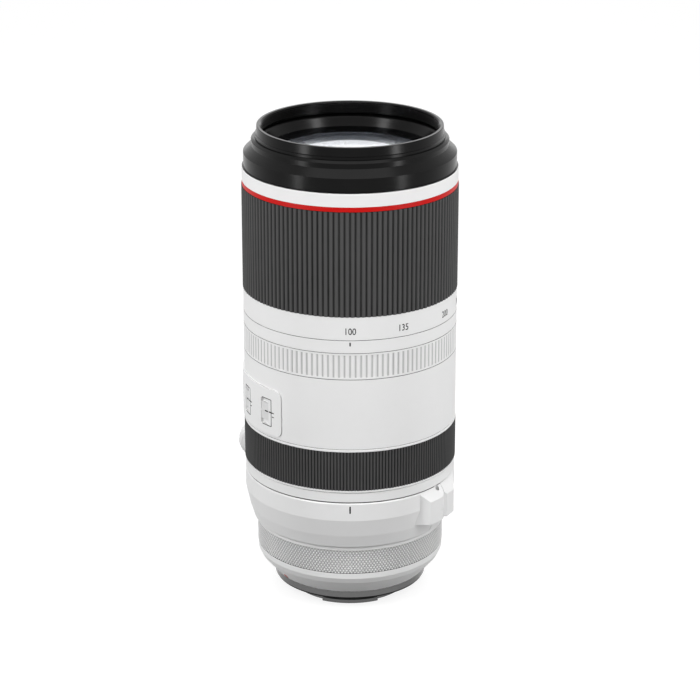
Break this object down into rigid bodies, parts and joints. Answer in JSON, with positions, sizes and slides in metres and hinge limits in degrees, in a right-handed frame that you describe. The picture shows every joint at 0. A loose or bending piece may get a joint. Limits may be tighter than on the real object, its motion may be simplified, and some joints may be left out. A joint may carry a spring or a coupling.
{
  "type": "telephoto zoom camera lens",
  "caption": "White telephoto zoom lens with ribbed zoom and focus rings, a switch panel, a hinged tripod collar with a foot, and a barrel that extends as the zoom turns.",
  "frame": {"origin": "where the lens axis meets the rear face of the mounting flange, on which the camera seats", "axes": "+Z runs along the lens axis to the front; the index marks face -Y and the tripod foot +Y"},
  "size_m": [0.0987, 0.12, 0.2137],
  "materials": {
    "white_paint": "fine satin paint",
    "grey_paint": "satin paint over a fine diamond knurl",
    "red_paint": "gloss paint",
    "black_paint": "satin black paint",
    "mount_metal": "turned and polished",
    "steel": "turned steel",
    "inner_metal": "black anodised",
    "grip_rubber": "moulded, matt",
    "seal_rubber": "moulded, matt",
    "black_plastic": "fine moulded texture",
    "switch_plastic": "fine moulded texture",
    "contact_gold": "gilt",
    "board": "solder mask",
    "felt": "short pile",
    "optical_glass": "coated"
  },
  "bodies": {
    "barrel": {"bayonet_mount": "mount_metal", "mount_screws": "steel", "mount_seal": "seal_rubber", "rear_baffle": "black_plastic", "contact_block": "black_plastic", "contact_pins": "contact_gold", "rear_ring": "white_paint", "mount_index_dot": "red_paint", "rear_barrel": "white_paint", "trim_ring": "white_paint", "main_barrel": "white_paint", "switch_panel": "white_paint", "index_band": "white_paint", "fixed_tube": "inner_metal", "guide_tube": "inner_metal", "iris_housing": "black_plastic", "iris_blades": "inner_metal", "stabiliser_housing": "black_plastic", "focus_guide_rods": "steel", "focus_motor": "steel", "rear_cell": "inner_metal", "rear_element": "optical_glass", "main_board": "board"},
    "control_ring": {"control_ring": "grey_paint"},
    "collar": {"collar_index_half": "white_paint", "hinge_pin": "steel"},
    "foot_half": {"collar_foot_half": "white_paint", "tripod_bush": "steel"},
    "clamp": {"clamp_knob": "black_plastic", "clamp_screw": "steel"},
    "focus_ring": {"focus_ring": "white_paint", "focus_grip": "grip_rubber"},
    "tension_ring": {"tension_ring": "grey_paint"},
    "focus_mode_switch": {"focus_mode_switch": "switch_plastic"},
    "distance_switch": {"distance_switch": "switch_plastic"},
    "stabiliser_switch": {"stabiliser_switch": "switch_plastic"},
    "stabiliser_mode_switch": {"stabiliser_mode_switch": "switch_plastic"},
    "zoom_ring": {"zoom_ring": "white_paint", "zoom_grip": "grip_rubber", "dust_seal": "felt", "zoom_keys": "steel", "cam_tube": "inner_metal"},
    "extension": {"extension_barrel": "white_paint", "barrel_rollers": "steel", "red_ring": "red_paint", "name_ring": "white_paint", "front_ring": "black_paint", "front_lens_cell": "inner_metal", "front_element": "optical_glass", "second_element": "optical_glass", "front_retainer": "black_plastic"},
    "zoom_group": {"zoom_group_cell": "inner_metal", "zoom_group_lens": "optical_glass", "zoom_group_rollers": "steel"},
    "stabiliser_frame": {"stabiliser_frame": "black_plastic"},
    "stabiliser_holder": {"stabiliser_holder": "black_plastic", "stabiliser_lens": "optical_glass"},
    "focus_group": {"focus_cell": "black_plastic", "focus_lens": "optical_glass"}
  },
  "joints": [
    {"name": "zoom_turn", "type": "hinge", "parent": "barrel", "child": "zoom_ring", "pos_m": [0, 0, 0], "axis": [0, 0, 1], "range_deg": [-116, 0]},
    {"name": "barrel_extension", "type": "slide", "parent": "barrel", "child": "extension", "axis": [0, 0, 1], "range_m": [0, 0.085]},
    {"name": "zoom_group_travel", "type": "slide", "parent": "barrel", "child": "zoom_group", "axis": [0, 0, 1], "range_m": [0, 0.036]},
    {"name": "focus_turn", "type": "hinge", "parent": "barrel", "child": "focus_ring", "pos_m": [0, 0, 0], "axis": [0, 0, 1], "continuous": true},
    {"name": "control_turn", "type": "hinge", "parent": "barrel", "child": "control_ring", "pos_m": [0, 0, 0], "axis": [0, 0, 1], "continuous": true},
    {"name": "tension_turn", "type": "hinge", "parent": "barrel", "child": "tension_ring", "pos_m": [0, 0, 0], "axis": [0, 0, 1], "range_deg": [0, 60]},
    {"name": "collar_turn", "type": "hinge", "parent": "barrel", "child": "collar", "pos_m": [0, 0, 0], "axis": [0, 0, 1], "continuous": true},
    {"name": "collar_hinge", "type": "hinge", "parent": "collar", "child": "foot_half", "pos_m": [0.03786, -0.027, 0], "axis": [0, 0, 1], "range_deg": [-45, 0]},
    {"name": "clamp_turn", "type": "hinge", "parent": "foot_half", "child": "clamp", "pos_m": [-0.04325, 0.0358, 0.0453], "axis": [0, 1, 0], "continuous": true},
    {"name": "focus_mode_switch_travel", "type": "slide", "parent": "barrel", "child": "focus_mode_switch", "axis": [0, 0, 1], "range_m": [-0.0018, 0]},
    {"name": "distance_switch_travel", "type": "slide", "parent": "barrel", "child": "distance_switch", "axis": [0, 0, 1], "range_m": [-0.0018, 0]},
    {"name": "stabiliser_switch_travel", "type": "slide", "parent": "barrel", "child": "stabiliser_switch", "axis": [0, 0, 1], "range_m": [-0.0018, 0]},
    {"name": "stabiliser_mode_switch_travel", "type": "slide", "parent": "barrel", "child": "stabiliser_mode_switch", "axis": [0, 0, 1], "range_m": [-0.0018, 0]},
    {"name": "stabiliser_sideways", "type": "slide", "parent": "barrel", "child": "stabiliser_frame", "axis": [1, 0, 0], "range_m": [-0.001, 0.001]},
    {"name": "stabiliser_lift", "type": "slide", "parent": "stabiliser_frame", "child": "stabiliser_holder", "axis": [0, 1, 0], "range_m": [-0.001, 0.001]},
    {"name": "focus_travel", "type": "slide", "parent": "barrel", "child": "focus_group", "axis": [0, 0, 1], "range_m": [0, 0.01]}
  ],
  "couplings": [
    {"joint": "barrel_extension", "follows": "zoom_turn", "m_per_rad": -0.041983},
    {"joint": "zoom_group_travel", "follows": "zoom_turn", "m_per_rad": -0.01778}
  ]
}
